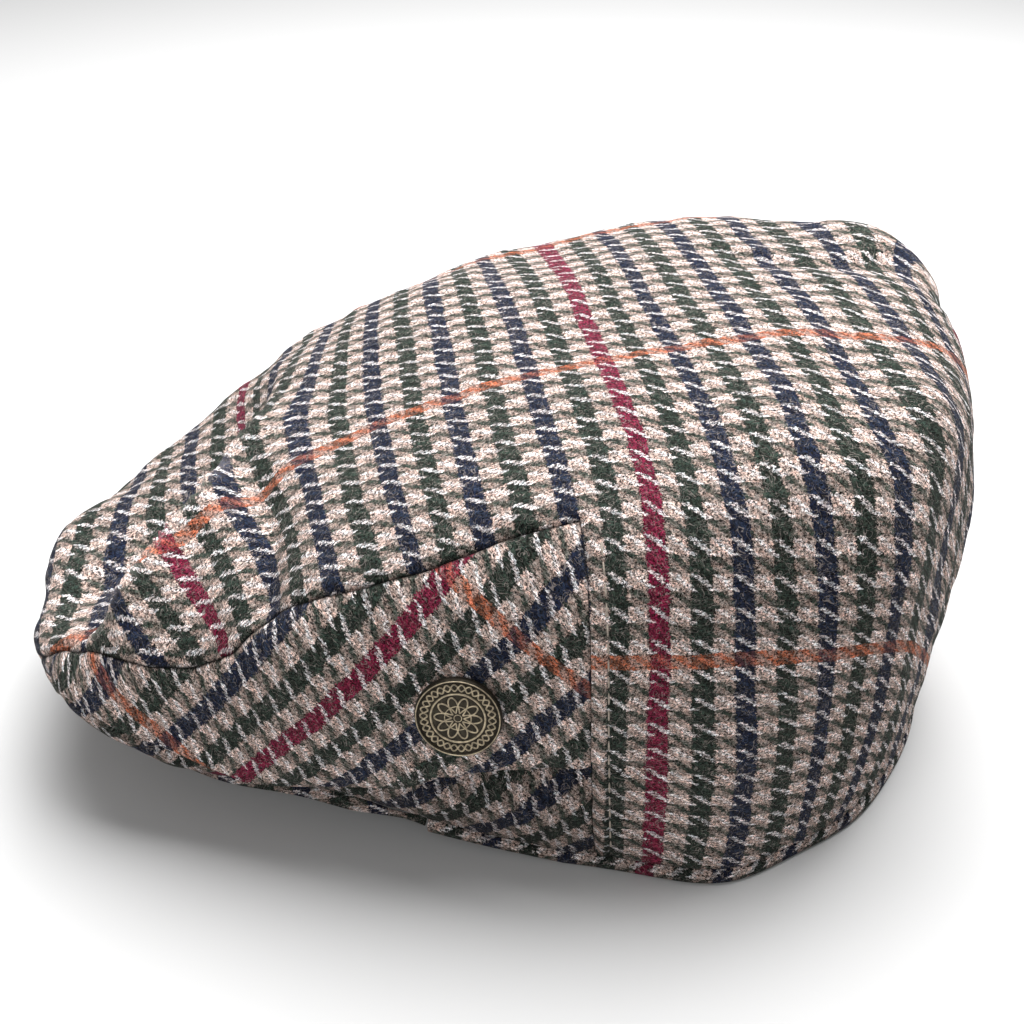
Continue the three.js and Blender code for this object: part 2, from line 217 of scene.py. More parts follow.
def crown(station, drop):
    """Points of the smooth crown: the section's six pull points at each station, mixed by the weights
    at each drop. A drop below 0 is the wearer's right, mirrored."""
    read = spline(STATIONS["station"], np.stack(list(STATIONS.values())[1:], axis=1), station)
    mid_y, mid_z = read[..., 0], read[..., 1]
    pulls = [
        np.stack([0 * mid_y, mid_y, mid_z], -1),
        np.stack([read[..., 2] / 2, mid_y, mid_z], -1),
        *(read[..., 2 + 3 * i: 5 + 3 * i] for i in range(4)),
    ]
    points = np.einsum("...k,...kc->...c", pull_weights(np.abs(drop)), np.stack(pulls, axis=-2))
    points[..., 0] *= np.where(drop < 0, -1, 1)
    points[..., 1] += CENTRE_SHIFT
    return points


def spaced(start, end, count, pull):
    """count steps from start to end, closer at both ends: an even run less a sine of itself."""
    t = np.linspace(0, 1, count + 1)
    return start + (end - start) * (t - pull * np.sin(2 * np.pi * t) / (2 * np.pi))


def ripple(points, length, seed):
    """Soft random waves: the sum of twelve sine waves of about that length in seeded directions."""
    rng = np.random.default_rng(seed)
    heading = rng.normal(size=(12, 3))
    heading *= (2 * np.pi / (length * rng.uniform(0.7, 1.5, 12)) / np.linalg.norm(heading, axis=1))[:, None]
    return np.sin(points @ heading.T + rng.uniform(0, 2 * np.pi, 12)).sum(axis=-1) / np.sqrt(6)


def normals_of(points):
    """Unit normals of a grid of points: the cross product of its two directions."""
    normal = np.cross(np.gradient(points, axis=1), np.gradient(points, axis=0))
    return normal / (np.linalg.norm(normal, axis=-1, keepdims=True) + 1e-12)


def joined_normals(row):
    """Normals where two sides meet: the mean of the row before it and that row's mirror image."""
    return unit((row + row[::-1] * [-1, 1, 1]) * [0, 1, 1])


def same_side(moved, before):
    """Moved points held on their own side of the midline: no nearer to it than a third of the distance
    that they had before."""
    side = np.sign(before[..., 0])
    x = side * np.maximum(side * moved[..., 0], np.abs(before[..., 0]) / 3)
    return np.concatenate([x[..., None], moved[..., 1:]], axis=-1)


def run_along(points):
    """Length run along a line of points, or along each row of a grid, from its first point."""
    step = np.linalg.norm(np.diff(points, axis=-2), axis=-1)
    return np.cumsum(np.concatenate([0 * step[..., :1], step], axis=-1), axis=-1)


def turns(count):
    """Angles of one full turn in equal steps, without its end."""
    return np.linspace(0, 2 * np.pi, count, endpoint=False)


def path_through(places, count=48):
    """A smooth line through a few places: a natural spline counted in places."""
    places = np.array(places, dtype=float)
    at = np.arange(len(places), dtype=float)
    return spline(at, places, np.linspace(0, len(places) - 1, count)) + [0, CENTRE_SHIFT, 0]


def from_line(points, normals, line):
    """For each point: its distance to a bent line, how far along the line that is from 0 to 1, and the
    share by which it lies to the line's left, seen from outside: 1 on that side, 0 on the other, and a
    smooth turn from one to the other round the line's ends."""
    start, run = line[:-1], np.diff(line, axis=0)
    offset = points[..., None, :] - start
    part = np.clip((offset * run).sum(-1) / (run**2).sum(-1), 0, 1)
    away = offset - part[..., None] * run
    distance = np.linalg.norm(away, axis=-1)
    nearest = distance.argmin(-1)[..., None]
    pick = lambda values: np.take_along_axis(values, nearest, -1)[..., 0]
    away -= (away * normals[..., None, :]).sum(-1, keepdims=True) * normals[..., None, :]
    left = np.cross(normals[..., None, :], run)
    lean = (away * left).sum(-1) / (np.linalg.norm(away, axis=-1) * np.linalg.norm(left, axis=-1) + 1e-9)
    return pick(distance), (nearest[..., 0] + pick(part)) / len(run), 0.5 + 0.5 * pick(lean)


def soft_folds(points, normals):
    """Sum of the soft folds: each is its height times a bell curve of the distance to its line."""
    total = np.zeros(points.shape[:-1])
    for height, near, far, *places in zip(*FOLDS.values()):
        distance, _, left = from_line(points, normals, path_through(np.reshape(places, (3, 3)), 16))
        total += height * bell(distance, far + (near - far) * left)
    return total


def brow_ridge(points, normals, height):
    """The crest: on the near side it fades like a bell, and on the far side it falls in a short s-curve.
    Then the share of the cloth's slide along it, for the stripes that jog there, and the share of the thin
    strip along the crest that takes a painted highlight."""
    distance, along, near = from_line(points, normals, path_through(BROW_PATH))
    far = 1 - near
    crest = smooth(along, 0, 0.5) * (1 - 0.4 * smooth(along, 0.85, 1))
    profile = near * bell(distance, BROW_NEAR, 1.2) + far * (1 - smooth(distance, -0.5, BROW_FAR))
    slide = near * bell(distance, BROW_NEAR + 5) + far * (1 - smooth(distance, 0, BROW_FAR + 1))
    # Painted highlight: a thin pale line along the crest, not a change in the cloth.
    crest_highlight = 0.9 * smooth(along, 0.15, 0.5) * bell(distance, 1.2)
    return height * crest * profile, slide * smooth(along, 0.1, 0.35), crest_highlight


def section_length(station):
    """Length of the half section from the midline to the hem, at each station."""
    return np.interp(station, SECTION_AT, SECTION_LENGTH)


def seam_places(station, drop):
    """Places by the two seams, in mm: below the one under the top's edge, and behind the upright one.
    Then the share by which a place lies ahead of the upright one: 1 ahead, 0 behind."""
    below = (np.abs(drop) - column_at(SEAM, "drop", station)) * section_length(station)
    behind = (station - SIDE_SEAM) * STRIPE
    return below, behind, 1 - smooth(behind, -0.6, 0.6)


def under_crease(station, drop):
    """The turn under the side: just below its line the cloth steps in and then comes back slowly."""
    line, depth, reach = (column_at(UNDER, name, station) for name in ("drop", "depth", "reach"))
    below = (np.abs(drop) - line) * section_length(station)
    down, up = np.maximum(below, 0), np.minimum(below, 0)
    step_in = (1 - bell(down, 1.8, 1.5)) * bell(down, reach) * (1 - smooth(np.abs(drop), 0.95, 1))
    return depth * (0.22 * bell(down, 2) * bell(up, 9) - step_in)


def painted_fold_shade(station, drop):
    """Painted shade: the share by which the cloth's colour is darkened below the turn under, and in a thin
    line along the seam under the top's edge."""
    under = (np.abs(drop) - column_at(UNDER, "drop", station)) * section_length(station)
    turned = 0.3 * smooth(under, -0.5, 1.6) + 0.3 * bell(under - 1.2, 1.1)
    turned = turned * np.clip(column_at(UNDER, "depth", station) / 4.5, 0, 1)
    below, _, ahead = seam_places(station, drop)
    return np.maximum(turned, 0.75 * ahead * bell(below, 0.7))


def thread_stripe(station, drop):
    """Warp thread number over the crown: sixteen to a stripe, counted along the stations and shifted by
    the table, which is read in straight lines between its places both ways."""
    shift = sum(
        column_at(SHIFT, name, station) * np.interp(drop, SHIFT_DROPS, share)
        for name, share in zip(list(SHIFT)[1:], np.eye(len(SHIFT_DROPS)))
    )
    return 16 * (station + shift)


def thread_row(station, arc):
    """Weft thread number over the crown: the cloth's length from the midline, less the fall."""
    wing = smooth(arc, 60, 110)
    top = smooth(arc, -25, 40) * (1 - wing)
    arc = arc - column_at(WEFT_FALL, "top", station) * top
    return (arc - column_at(WEFT_FALL, "wing", station) * wing) / WEFT


def seams(points, station, drop):
    """Both seams of a side. The seam under the top's edge and the upright one behind the side panel are
    narrow dips; the top's edge and the wing stand up beside them in small puckers, and a groove for the
    top stitching runs behind the upright one."""
    below, behind, ahead = seam_places(station, drop)
    pucker = 0.6 + 0.4 * ripple(points, 15, 5)
    edge = bell(below + 5, 5) + 0.35 * bell(below - 7, 5)
    rise = ahead * (pucker * edge - 0.9 * bell(np.abs(below), 1.2, 1.4))
    upright = 0.4 * bell(behind - 2.4, 1.3) - 0.45 * bell(behind - STITCH_BEHIND, 0.6)
    return rise + smooth(below, -0.8, 0.8) * (upright - 0.9 * bell(np.abs(behind), 1.3, 1.4))


def dressed_rise(cloth, points, normals, station, drop):
    """All that the sewn cloth adds to the smooth crown, with the slide of the brow and the share of the
    painted highlight along its crest. One sum for every panel, so that they meet: folds, crest, turn under,
    seams and unevenness, held back towards the lower edge and pressed under the stud."""
    hold = 1 - smooth(np.abs(drop), 0.9, 1)
    brow, slide, crest_highlight = brow_ridge(points, normals, cloth.brow / MM)
    rise = (soft_folds(points, normals) + brow) * hold + under_crease(station, drop)
    rise += seams(points, station, drop)
    rise += sum(height * ripple(points, length, seed) for height, length, seed in WAVES) * (0.3 + 0.7 * hold)
    stud = crown(np.array(STUD_STATION), np.array(STUD_DROP))
    pressed = bell(np.linalg.norm(points - stud, axis=-1), 14, 4)
    flat = -0.5 - np.tan(STUD_TILT) * (points[..., 2] - stud[2])
    return rise * (1 - pressed) + flat * pressed, slide, crest_highlight


def side_rise(cloth, points, normals, station, drop, side):
    """The same on one side, 1 the wearer's left and -1 the right, for places given on the left."""
    return dressed_rise(cloth, points * [side, 1, 1], normals * [side, 1, 1], station, drop * side)[0]


SECTION_AT = np.linspace(FRONT, BACK, 160)
SECTION_STEPS = np.diff(crown(*np.meshgrid(SECTION_AT, np.linspace(0, 1, 61), indexing="ij")), axis=1)
SECTION_LENGTH = np.linalg.norm(SECTION_STEPS, axis=-1).sum(axis=1)


# ---- Meshes ----
def add_piece(name, points, faces, threads=None, hollow=None):
    """A mesh object at the origin from points in millimetres, with its thread numbers as a UV map and its
    painted shade as an attribute, below 0 for a painted highlight along a crest."""
    mesh = bpy.data.meshes.new(name)
    mesh.from_pydata((np.asarray(points).reshape(-1, 3) * MM).tolist(), [], faces.tolist())
    if threads is not None:
        corner = np.empty(len(mesh.loops), dtype=np.int32)
        mesh.loops.foreach_get("vertex_index", corner)
        layer = mesh.uv_layers.new(name="threads")
        layer.uv.foreach_set("vector", threads.reshape(-1, 2)[corner].astype(np.float32).ravel())
    if hollow is not None:
        mesh.attributes.new("hollow", "FLOAT", "POINT").data.foreach_set("value", hollow.astype(np.float32))
    mesh.polygons.foreach_set("use_smooth", [True] * len(mesh.polygons))
    piece = bpy.data.objects.new(name, mesh)
    bpy.context.collection.objects.link(piece)
    return piece


def grid_faces(rows, columns, wrap=False, ring=False, copies=1):
    """Four-cornered faces of a grid whose columns run to the left of its rows, seen from outside. wrap
    joins the last column to the first, ring does so with the rows, and the copies follow one another."""
    ids = np.arange(rows * columns).reshape(rows, columns)
    ids = np.pad(ids, ((0, int(ring)), (0, int(wrap))), mode="wrap")
    faces = np.stack([ids[:-1, :-1], ids[:-1, 1:], ids[1:, 1:], ids[1:, :-1]], axis=-1).reshape(-1, 4)
    return (faces + rows * columns * np.arange(copies)[:, None, None]).reshape(-1, 4)


def repair(piece, weld=False):
    """Closes a mesh: merges the points that lie together, or fills every open ring with faces."""
    work = bmesh.new()
    work.from_mesh(piece.data)
    if weld:
        bmesh.ops.remove_doubles(work, verts=work.verts, dist=1e-6)
    else:
        bmesh.ops.holes_fill(work, edges=[edge for edge in work.edges if edge.is_boundary], sides=0)
        bmesh.ops.recalc_face_normals(work, faces=work.faces)
    work.to_mesh(piece.data)
    work.free()


def cloth_wall(name, outer, threads, hollow, wall, cells=slice(None), joined_end=False, mirrored=False):
    """A closed wall of cloth: the outer grid, the same grid moved in by the wall, and a rim along each
    open edge. A joined end is where two sides meet, so it gets no rim and is merged."""
    rows, columns = outer.shape[:2]
    normals = normals_of(outer)
    if joined_end:
        normals[-1] = joined_normals(normals[-2])
    inner = outer - wall * normals
    if joined_end:
        inner = same_side(inner, outer)
    count = rows * columns
    faces = grid_faces(rows, columns)[cells]
    edges = np.concatenate([faces[:, [0, 1]], faces[:, [1, 2]], faces[:, [2, 3]], faces[:, [3, 0]]])
    _, first, times = np.unique(np.sort(edges, axis=1) @ [count, 1], return_index=True, return_counts=True)
    rim = edges[first[times == 1]]
    if joined_end:
        rim = rim[~(rim >= count - columns).all(axis=1)]
    rim = np.stack([rim[:, 1], rim[:, 0], rim[:, 0] + count, rim[:, 1] + count], axis=1)
    used, every = np.unique(np.concatenate([faces, faces[:, ::-1] + count, rim]), return_inverse=True)
    every = every.reshape(-1, 4)
    points = np.concatenate([outer.reshape(-1, 3), inner.reshape(-1, 3)])[used]
    uv = np.tile(threads.reshape(-1, 2), (2, 1))[used]
    if mirrored:
        points, every, uv = points * [-1, 1, 1], every[:, ::-1], uv * [1, -1]
    piece = add_piece(name, points, every, uv, np.tile(hollow.ravel(), 2)[used])
    if joined_end:
        repair(piece, weld=True)
    return piece


def swept_piece(name, points, threads=None):
    """A closed bar from a grid whose columns go once round, filled over at both ends."""
    piece = add_piece(name, points, grid_faces(*points.shape[:2], wrap=True), threads)
    repair(piece)
    return piece


def hand_over(piece, material, slot, *nodes):
    """Gives the piece its material, rides it on the body, and hides the frame's parts that it replaces. Its
    slot, the finish it takes, is not used."""
    piece.data.materials.append(material)
    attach(piece, BODY)
    if nodes:
        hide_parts(*nodes)


# ---- Node groups and materials ----
class Graph:
    """Adds nodes to a tree. Sockets or plain values go in, and sockets come out."""

    def __init__(self, tree):
        self.tree = tree

    def feed(self, node, values):
        """Links or sets a node's inputs, given by their names or numbers."""
        for key, value in values.items():
            if isinstance(value, bpy.types.NodeSocket):
                self.tree.links.new(value, node.inputs[key])
            else:
                node.inputs[key].default_value = value

    def node(self, kind, values=(), **settings):
        made = self.tree.nodes.new(kind)
        for name, value in settings.items():
            setattr(made, name, value)
        self.feed(made, dict(values))
        return made

    def math(self, operation, *values):
        return self.node("ShaderNodeMath", enumerate(values), operation=operation).outputs[0]

    def mix(self, share, a, b, blend="MIX"):
        values = {0: share, 6: a, 7: b}
        return self.node("ShaderNodeMix", values, data_type="RGBA", blend_type=blend).outputs[2]

    def choose(self, share, a, b):
        return self.node("ShaderNodeMix", {0: share, 2: a, 3: b}, data_type="FLOAT").outputs[0]

    def noise(self, vector, scale, detail=2.0, rough=0.5, twist=0.0, out="Fac"):
        values = {"Vector": vector, "Scale": scale, "Detail": detail, "Roughness": rough, "Distortion": twist}
        return self.node("ShaderNodeTexNoise", values).outputs[out]

    def remap(self, value, low, high, to_low=0.0, to_high=1.0):
        values = enumerate((value, low, high, to_low, to_high))
        return self.node("ShaderNodeMapRange", values, interpolation_type="SMOOTHSTEP").outputs[0]

    def apart(self, vector):
        return self.node("ShaderNodeSeparateXYZ", {0: vector}).outputs

    def join(self, x, y, z):
        return self.node("ShaderNodeCombineXYZ", enumerate((x, y, z))).outputs[0]

    def bump(self, shader, height, distance, strength=1.0):
        """Raises the shader's surface by the height, over a distance in millimetres."""
        values = {"Strength": strength, "Distance": distance * MM, "Height": height}
        self.feed(shader, {"Normal": self.node("ShaderNodeBump", values).outputs[0]})


def tone(colour, share=1.0):
    """A colour for a socket: three channels times a share, and a full fourth."""
    return (*(channel * share for channel in colour), 1)


def new_group(name, inputs, outputs):
    """An empty node group with its named sockets: its graph, its inputs and its output node."""
    tree = bpy.data.node_groups.new(name, "ShaderNodeTree")
    for way, sockets in (("INPUT", inputs), ("OUTPUT", outputs)):
        for label, kind in sockets.items():
            tree.interface.new_socket(name=label, in_out=way, socket_type="NodeSocket" + kind)
    graph = Graph(tree)
    return graph, graph.node("NodeGroupInput").outputs, graph.node("NodeGroupOutput")


CLOTH_COLOURS = ("Pale warp", "Pale weft", "Green", "Navy", "Burgundy", "Rust")
COOL_TINT, WARM_TINT = (0.93, 1.0, 1.05, 1), (1.1, 0.97, 0.95, 1)
DARK_HAIR, PALE_HAIR = (0.035, 0.03, 0.028, 1), (0.42, 0.36, 0.33, 1)
# Pale colour mixed in along the brow's crest as a painted highlight.
CREST_HIGHLIGHT = (0.4, 0.355, 0.33, 1)
REPEAT = 16.0                # threads from one accent to the next, both in fours


def houndstooth_group():
    """A 2/2 twill in fours. A thread number is the whole part of the place; a point shows its weft
    thread where warp less weft, counted in fours, is below about two and a half, and its warp thread
    elsewhere. Every thread takes its colour from its number: pale and dark in fours, with an accent in
    each sixteen."""
    graph, given, result = new_group(
        "Houndstooth twill",
        {"Threads": "Vector", **dict.fromkeys(CLOTH_COLOURS, "Color"), "Nap": "Float"},
        {"Color": "Color", "Height": "Float"},
    )
    mix, choose, remap, noise = graph.mix, graph.choose, graph.remap, graph.noise
    plus, less, times, times_plus, over, power, modulo, below, size, floor, part = (
        partial(graph.math, word) for word in (
            "ADD", "SUBTRACT", "MULTIPLY", "MULTIPLY_ADD", "DIVIDE", "POWER", "FLOORED_MODULO", "LESS_THAN",
            "ABSOLUTE", "FLOOR", "FRACT",
        )
    )

    # Threads wander: slowly over many threads, raggedly within one, and fibre by fibre.
    place = given["Threads"]
    drift = graph.apart(noise(place, 0.07, 1.0, out="Color"))
    ragged = graph.apart(noise(place, 0.55, 2.0, 0.6, out="Color"))
    fibres = graph.apart(noise(place, 2.3, 1.0, 0.5, out="Color"))
    apart = graph.apart(place)

    def wander(axis, slow, quick, fine):
        moved = times_plus(drift[axis], slow, plus(apart[axis], -(slow + quick + fine) / 2))
        return times_plus(fibres[axis], fine, times_plus(ragged[axis], quick, moved))

    u, v = wander(0, 1.2, 1.3, 1.5), wander(1, 1.2, 0.8, 1.1)
    i, j = floor(u), floor(v)
    a, b = part(u), part(v)
    phase = modulo(less(i, j), 4.0)

    def in_four(count, start, of):
        return below(modulo(plus(count, -start), of), 3.5)

    # Warp colours: the accent four starts each sixteen, and each sixth accent is burgundy.
    stripe = floor(over(plus(i, 2.0), REPEAT))
    sixth = below(modulo(stripe, 6.0), 0.5)
    accent = in_four(i, -2.0, REPEAT)
    warp = mix(in_four(i, 6.0, REPEAT), given["Pale warp"], given["Green"])
    warp = mix(accent, warp, mix(sixth, given["Navy"], given["Burgundy"]))

    # Weft colours: dark and pale in fours, and each twelfth dark four is rust. A coloured weft also
    # tints the warps it passes under. The accent warps hide it.
    dark_weft, rust_weft = in_four(j, 22.0, REPEAT / 2), in_four(j, 22.0, REPEAT * 6)
    dye = mix(rust_weft, given["Green"], given["Rust"])
    weft = mix(dark_weft, given["Pale weft"], dye)
    showing = times_plus(times(accent, dark_weft), choose(rust_weft, -0.85, -0.6), 1.0)
    seep = times(times(dark_weft, showing), choose(rust_weft, 0.4, 0.5))

    # A weft float covers about two and a half of each four warps. It leans along the twill and tapers
    # at both ends, and the fuller warp shows round it.
    past = plus(phase, a)
    long = choose(dark_weft, 2.4, 2.6)
    middle = plus(over(past, long), -0.5)
    off_line = size(less(plus(b, -0.5), times(middle, 0.5)))
    taper = less(1.0, power(size(times(middle, 2.1)), 2.5))
    clear = less(times(choose(dark_weft, 0.4, 0.6), taper), off_line)
    firm = remap(ragged[2], 0.3, 0.6, choose(dark_weft, 0.5, 0.75), choose(dark_weft, 0.92, 1.0))
    cover = times(remap(clear, -0.1, 0.1), times(below(past, long), firm))
    yarn = mix(times(cover, showing), mix(seep, warp, dye), weft)
    warp_crest = less(1.0, power(size(times_plus(a, 2.0, -1.0)), 2.0))
    height = choose(cover, times_plus(warp_crest, 0.45, 0.1), 1.0)

    # Brushed nap: light and dark speckle, pinkish and greyish patches, and thin curling hairs where a
    # noise crosses its middle value.
    speckle = noise(place, 2.1, 3.0, 0.8, 0.9)
    # The level also follows the height: darker where a thread dips and lighter on a float's top, as painted
    # shade between the threads.
    level = times(remap(speckle, 0.4, 0.6, 0.0, 2.3), remap(height, 0.0, 1.0, 0.5, 1.3))
    level = times(level, remap(noise(place, 0.5, 2.0), 0.3, 0.7, 0.8, 1.22))
    tint = mix(remap(noise(place, 0.9, 2.0, 0.7), 0.35, 0.65), WARM_TINT, COOL_TINT)
    shaded = mix(1.0, mix(1.0, yarn, level, "MULTIPLY"), tint, "MULTIPLY")

    def hairs(scale, width, seed):
        shifted = graph.join(plus(apart[0], seed), times(apart[1], 0.8), seed)
        off_middle = size(plus(noise(shifted, scale, 2.0, 0.6, 1.4), -0.5))
        return times(times(remap(off_middle, 0.0, width, 1.0, 0.0), given["Nap"]), 0.5)

    pale_hair, dark_hair = hairs(0.4, 0.018, 31.0), hairs(1.0, 0.06, 77.0)
    rise = times_plus(speckle, 0.7, times(height, 0.5))
    graph.feed(result, {
        "Color": mix(pale_hair, mix(dark_hair, shaded, DARK_HAIR), PALE_HAIR),
        "Height": times_plus(pale_hair, 0.3, rise),
    })
    return graph.tree


def new_material(name):
    """A material with its Principled shader: its graph and the shader."""
    material = bpy.data.materials.new(name)
    material.use_nodes = True
    return material, Graph(material.node_tree), material.node_tree.nodes["Principled BSDF"]


def tweed_material(name, painted_shade_factor=1.0):
    """Tweed: the houndstooth group on the piece's own thread numbers, over a rough woolly shader. Its colours
    are dimmed by the painted shade factor, darkened by the painted shade in the folds, and mixed towards a
    pale colour as a painted highlight along the brow's crest."""
    cloth = bpy.context.scene.flat_cap_cloth
    material, graph, shader = new_material(name)
    # The painted shade factor dims every thread colour of a piece that lies in shadow.
    colours = {label: tone(getattr(cloth, label.lower().replace(" ", "_")), painted_shade_factor) for label in CLOTH_COLOURS}
    place = graph.node("ShaderNodeUVMap", uv_map="threads").outputs[0]
    weave = graph.node(
        "ShaderNodeGroup",
        {"Threads": place, "Nap": cloth.nap, **colours},
        node_tree=bpy.data.node_groups.get("Houndstooth twill") or houndstooth_group(),
    )
    colour, height = weave.outputs["Color"], weave.outputs["Height"]
    # Painted shade and highlight from the attribute: the colour is multiplied by one less it, and where it is
    # below 0 the pale crest colour is mixed in.
    hollow = graph.node("ShaderNodeAttribute", attribute_name="hollow").outputs["Fac"]
    lit = graph.mix(1.0, colour, graph.math("SUBTRACT", 1.0, hollow), "MULTIPLY")
    crest = graph.math("MULTIPLY", graph.math("MINIMUM", hollow, 0.0), -0.25)
    graph.feed(shader, {
        "Base Color": graph.mix(crest, lit, CREST_HIGHLIGHT),
        "Roughness": graph.remap(height, 0.2, 1.2, 1.0, 0.82),
        "Specular IOR Level": 0.06,
        "Sheen Weight": cloth.sheen,
        "Sheen Roughness": 0.5,
        "Sheen Tint": (0.9, 0.86, 0.82, 1),
    })
    graph.bump(shader, height, 0.5, 0.85)
    return material


def thread_material(name, colour):
    """Sewing thread: a pale colour with a twist of finer plies along it."""
    material, graph, shader = new_material(name)
    grain = graph.noise(graph.node("ShaderNodeTexCoord").outputs["Object"], 2600.0, 2.0, 0.6)
    graph.feed(shader, {
        "Base Color": graph.mix(graph.remap(grain, 0.3, 0.7), tone(colour, 0.6), tone(colour)),
        "Roughness": graph.remap(grain, 0.2, 0.8, 0.75, 0.95),
    })
    graph.bump(shader, grain, 0.08)
    return material


def antique_brass_material(name, colour, dark, bright, rough):
    """Antique brass: its colour at a dark share, and at a bright one where wear has reached it."""
    material, graph, shader = new_material(name)
    place = graph.node("ShaderNodeTexCoord").outputs["Object"]
    patina, fine = graph.noise(place, 900.0, 4.0, 0.65), graph.noise(place, 4200.0, 2.0, 0.6)
    graph.feed(shader, {
        "Base Color": graph.mix(graph.remap(patina, 0.38, 0.66), tone(colour, dark), tone(colour, bright)),
        "Roughness": graph.remap(fine, 0.25, 0.75, rough, rough + 0.22),
        "Metallic": graph.remap(patina, 0.2, 0.6, 0.75, 1.0),
    })
    graph.bump(shader, fine, 0.05, 0.5)
    return material


# ---- Sizes and colours a user would change ----
def colour_property(name, description, default):
    return bpy.props.FloatVectorProperty(
        name=name, description=description, subtype="COLOR", size=3, min=0, max=1, default=default
    )


def number_property(name, description, default, low, high, unit="LENGTH"):
    return bpy.props.FloatProperty(
        name=name, description=description, default=default, min=low, max=high, unit=unit
    )


class FlatCapCloth(bpy.types.PropertyGroup):
    wall: number_property("Wall", "Thickness of the tweed with its backing", 0.0022, 0.001, 0.003)
    brow: number_property("Brow ridge", "Height of the crest pinched over the peak", 0.0105, 0, 0.014)
    nap: number_property("Nap", "Amount of loose brushed hair over the weave", 1.0, 0, 2, "NONE")
    sheen: number_property("Sheen", "Soft glow of the nap at a grazing angle", 0.03, 0, 1, "NONE")
    pale_warp: colour_property("Pale warp", "Oatmeal threads that run over the head", (0.46, 0.36, 0.31))
    pale_weft: colour_property("Pale weft", "Cream threads that run from peak to back", (0.43, 0.415, 0.41))
    green: colour_property("Green", "Dark green threads, both ways", (0.0165, 0.0255, 0.0195))
    navy: colour_property("Navy", "Navy accent threads", (0.008, 0.0125, 0.03))
    burgundy: colour_property("Burgundy", "Burgundy accent threads, each sixth stripe", (0.13, 0.008, 0.03))
    rust: colour_property("Rust", "Rust accent threads that run from peak to back", (0.235, 0.073, 0.037))


class FlatCapStud(bpy.types.PropertyGroup):
    radius: number_property("Radius", "Outer radius of the stud", 0.0103, 0.005, 0.015)
    patina: colour_property("Patina", "Dark ground between the raised lines", (0.026, 0.0225, 0.017))
    metal: colour_property("Metal", "Worn raised lines", (0.56, 0.47, 0.33))


class FlatCapStage(bpy.types.PropertyGroup):
    floor: colour_property("Floor", "Pale floor the cap rests on", (0.55, 0.55, 0.55))
    distance: number_property("Distance", "Camera to the middle of the cap", 0.425, 0.2, 2)
    softbox: number_property("Softbox", "Power of the overhead light in watts", 25.5, 0, 100, "NONE")


# ---- Pieces ----
TOP_FRONT_STEPS, WING_STEPS, TOP_HALF_COLUMNS, WING_COLUMNS = 130, 116, 64, 72
SEAM_GAP = 0.12              # clear line between sewn pieces, mm
BROW_SLIDE = 4.5             # how far the stripes jog along the brow, threads
SIDES = ((1, "left"), (-1, "right"))


class FLATCAP_OT_crown_top(bpy.types.Operator):
    """Sews the top panel with its two wings, from the front edge to the centre-back seam"""

    bl_idname = "flatcap.crown_top"
    bl_label = "Crown top"

    def execute(self, context):
        cloth = context.scene.flat_cap_cloth
        rows = np.concatenate([
            spaced(FRONT, SIDE_SEAM, TOP_FRONT_STEPS, 0.6)[:-1], spaced(SIDE_SEAM, BACK, WING_STEPS, 0.6),
        ])
        seam = column_at(SEAM, "drop", rows)[:, None]
        top = spaced(-1, 1, 2 * TOP_HALF_COLUMNS, 0.6) * seam
        wing = seam + (1 - seam) * spaced(0, 1, WING_COLUMNS, 0.6)
        drops = np.concatenate([-wing[:, :0:-1], top, wing[:, 1:]], axis=1)
        stations = rows[:, None] + 0 * drops
        points = crown(stations, drops)
        arc = run_along(points)
        arc -= arc[:, drops.shape[1] // 2, None]
        normals = normals_of(points)
        normals[-1] = joined_normals(normals[-2])
        rise, slide, crest_highlight = dressed_rise(cloth, points, normals, stations, drops)
        # The centre-back seam.
        rise -= 1.0 * smooth(stations, 4.9, 5.4) * bell(points[..., 0], 2.0)
        outer = same_side(points + normals * rise[..., None], points)
        outer[-1] = (outer[-1] + outer[-1, ::-1]) / 2 * [0, 1, 1]

        stripes = thread_stripe(stations, drops) + slide * BROW_SLIDE
        threads = np.stack([stripes, thread_row(stations, arc)], axis=-1)
        cells = np.ones((len(rows) - 1, drops.shape[1] - 1), dtype=bool)
        cells[:TOP_FRONT_STEPS, :WING_COLUMNS] = False
        cells[:TOP_FRONT_STEPS, -WING_COLUMNS:] = False
        # Painted shade in the folds and along the seam, less the painted highlight along the brow's crest.
        hollow = painted_fold_shade(stations, drops) - crest_highlight
        piece = cloth_wall(
            "tweed_top", outer, threads, hollow, cloth.wall / MM, cells.ravel(), joined_end=True
        )
        hand_over(piece, tweed_material("Tweed, straight"), "tweed", "crown_top")
        return {"FINISHED"}


PANEL_ROWS, PANEL_COLUMNS = 170, 100
BIAS_TURN = np.radians(39)   # the weft's fall towards the back on a side panel
BIAS_ORIGIN = (-20.7, 90)    # y and z where a burgundy stripe meets a rust row, mm
BIAS_THREADS = (0, 24.4)     # their thread numbers
BIAS_FLAT = 42               # height below which the depth follows the cloth, mm
BIAS_EASE = 1.06             # cloth to each mm of height above it


